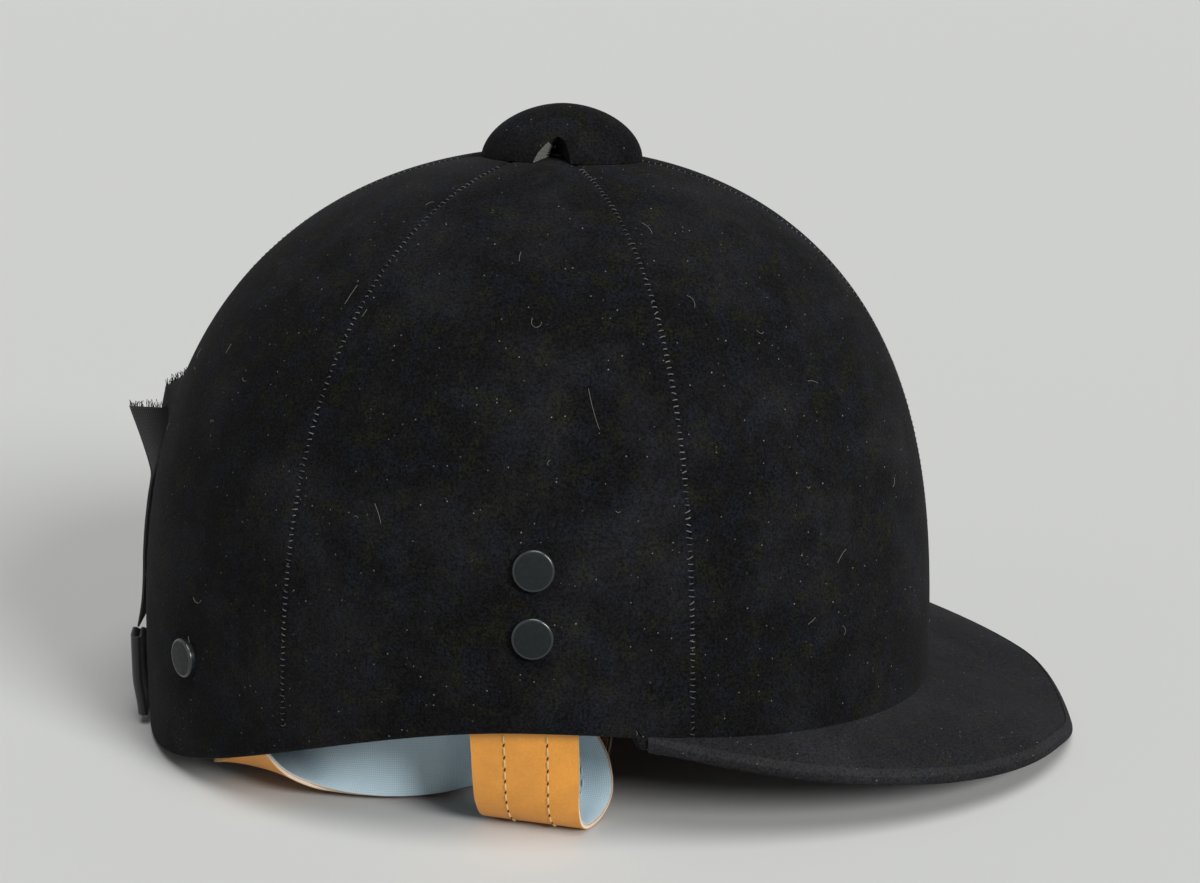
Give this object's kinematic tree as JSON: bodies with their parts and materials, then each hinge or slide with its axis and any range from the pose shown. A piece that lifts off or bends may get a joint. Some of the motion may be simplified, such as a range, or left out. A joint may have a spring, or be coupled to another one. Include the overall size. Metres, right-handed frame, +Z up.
{
  "type": "hunt cap",
  "caption": "Velvet-covered riding hunt cap with a stiff peak, vent button, rear ribbon bow and a riveted leather harness with a buckled chin strap.",
  "frame": {"origin": "centre of the bounding box's underside, on the table that the rear rim and the peak's tip stand on", "axes": "+X towards the tip of the peak, +Y towards the wearer's left, +Z up through the button"},
  "size_m": [0.3064, 0.2136, 0.2002],
  "materials": {
    "velvet": "pile",
    "facing_cloth": "woven",
    "lining_cloth": "satin",
    "strap_cloth": "woven",
    "ribbon": "ribbed",
    "tan_leather": "satin",
    "dark_leather": "satin",
    "shell_plastic": "matte",
    "board": "matte",
    "foam": "beaded",
    "black_metal": "satin",
    "steel": "plated",
    "brass": "lacquered"
  },
  "bodies": {
    "cap": {"shell": "shell_plastic", "cover_front_right": "velvet", "cover_side_right": "velvet", "cover_rear_right": "velvet", "cover_front_left": "velvet", "cover_side_left": "velvet", "cover_rear_left": "velvet", "rim_binding": "velvet", "rim_facing": "facing_cloth", "peak_board": "board", "peak_top_cover": "velvet", "peak_under_cover": "facing_cloth", "peak_edge_binding": "velvet", "button_cover": "velvet", "button_core": "board", "button_screw": "black_metal", "button_washer": "black_metal", "crown_eyelet": "black_metal", "impact_liner": "foam", "head_lining": "lining_cloth", "crown_pad": "lining_cloth", "sweatband": "dark_leather", "side_rivets": "black_metal", "rear_rivets": "black_metal", "rivet_washers": "steel", "side_tab_right": "tan_leather", "side_tab_left": "tan_leather", "nape_tab_right": "tan_leather", "nape_tab_left": "tan_leather", "bow_knot": "ribbon", "bow_loop_right": "ribbon", "bow_loop_left": "ribbon"},
    "harness_right": {"side_strap_right": "tan_leather", "side_lining_right": "strap_cloth", "nape_strap_right": "tan_leather", "nape_lining_right": "strap_cloth", "junction_rivet_right": "black_metal", "billet_strap": "tan_leather"},
    "harness_left": {"side_strap_left": "tan_leather", "side_lining_left": "strap_cloth", "nape_strap_left": "tan_leather", "nape_lining_left": "strap_cloth", "junction_rivet_left": "black_metal", "buckle_strap": "tan_leather"},
    "buckle": {"buckle_frame": "brass"},
    "prong": {"buckle_prong": "brass"},
    "keeper": {"strap_keeper": "tan_leather"},
    "tail_right": {"ribbon_tail_right": "ribbon"},
    "tail_left": {"ribbon_tail_left": "ribbon"}
  },
  "joints": [
    {"name": "harness_right_swing", "type": "hinge", "parent": "cap", "child": "harness_right", "pos_m": [-0.03079, -0.1016, 0.0353], "axis": [-0.9185, 0.3, -0.2576], "range_deg": [0, 75]},
    {"name": "harness_left_swing", "type": "hinge", "parent": "cap", "child": "harness_left", "pos_m": [-0.03079, 0.1016, 0.0353], "axis": [0.9185, 0.3, 0.2576], "range_deg": [0, 75]},
    {"name": "buckle_tilt", "type": "hinge", "parent": "harness_left", "child": "buckle", "pos_m": [-0.00283, 0.024, 0.0046], "axis": [-1, 0, 0], "range_deg": [0, 75]},
    {"name": "prong_lift", "type": "hinge", "parent": "buckle", "child": "prong", "pos_m": [-0.00283, 0.024, 0.0046], "axis": [-1, 0, 0], "range_deg": [0, 70]},
    {"name": "keeper_slide", "type": "slide", "parent": "harness_left", "child": "keeper", "axis": [0, 1, 0], "range_m": [0, 0.012]},
    {"name": "ribbon_tail_right_lift", "type": "hinge", "parent": "cap", "child": "tail_right", "pos_m": [-0.15159, -0.008, 0.0312], "axis": [0, -1, 0], "range_deg": [0, 60]},
    {"name": "ribbon_tail_left_lift", "type": "hinge", "parent": "cap", "child": "tail_left", "pos_m": [-0.15159, 0.008, 0.0312], "axis": [0, -1, 0], "range_deg": [0, 60]}
  ]
}
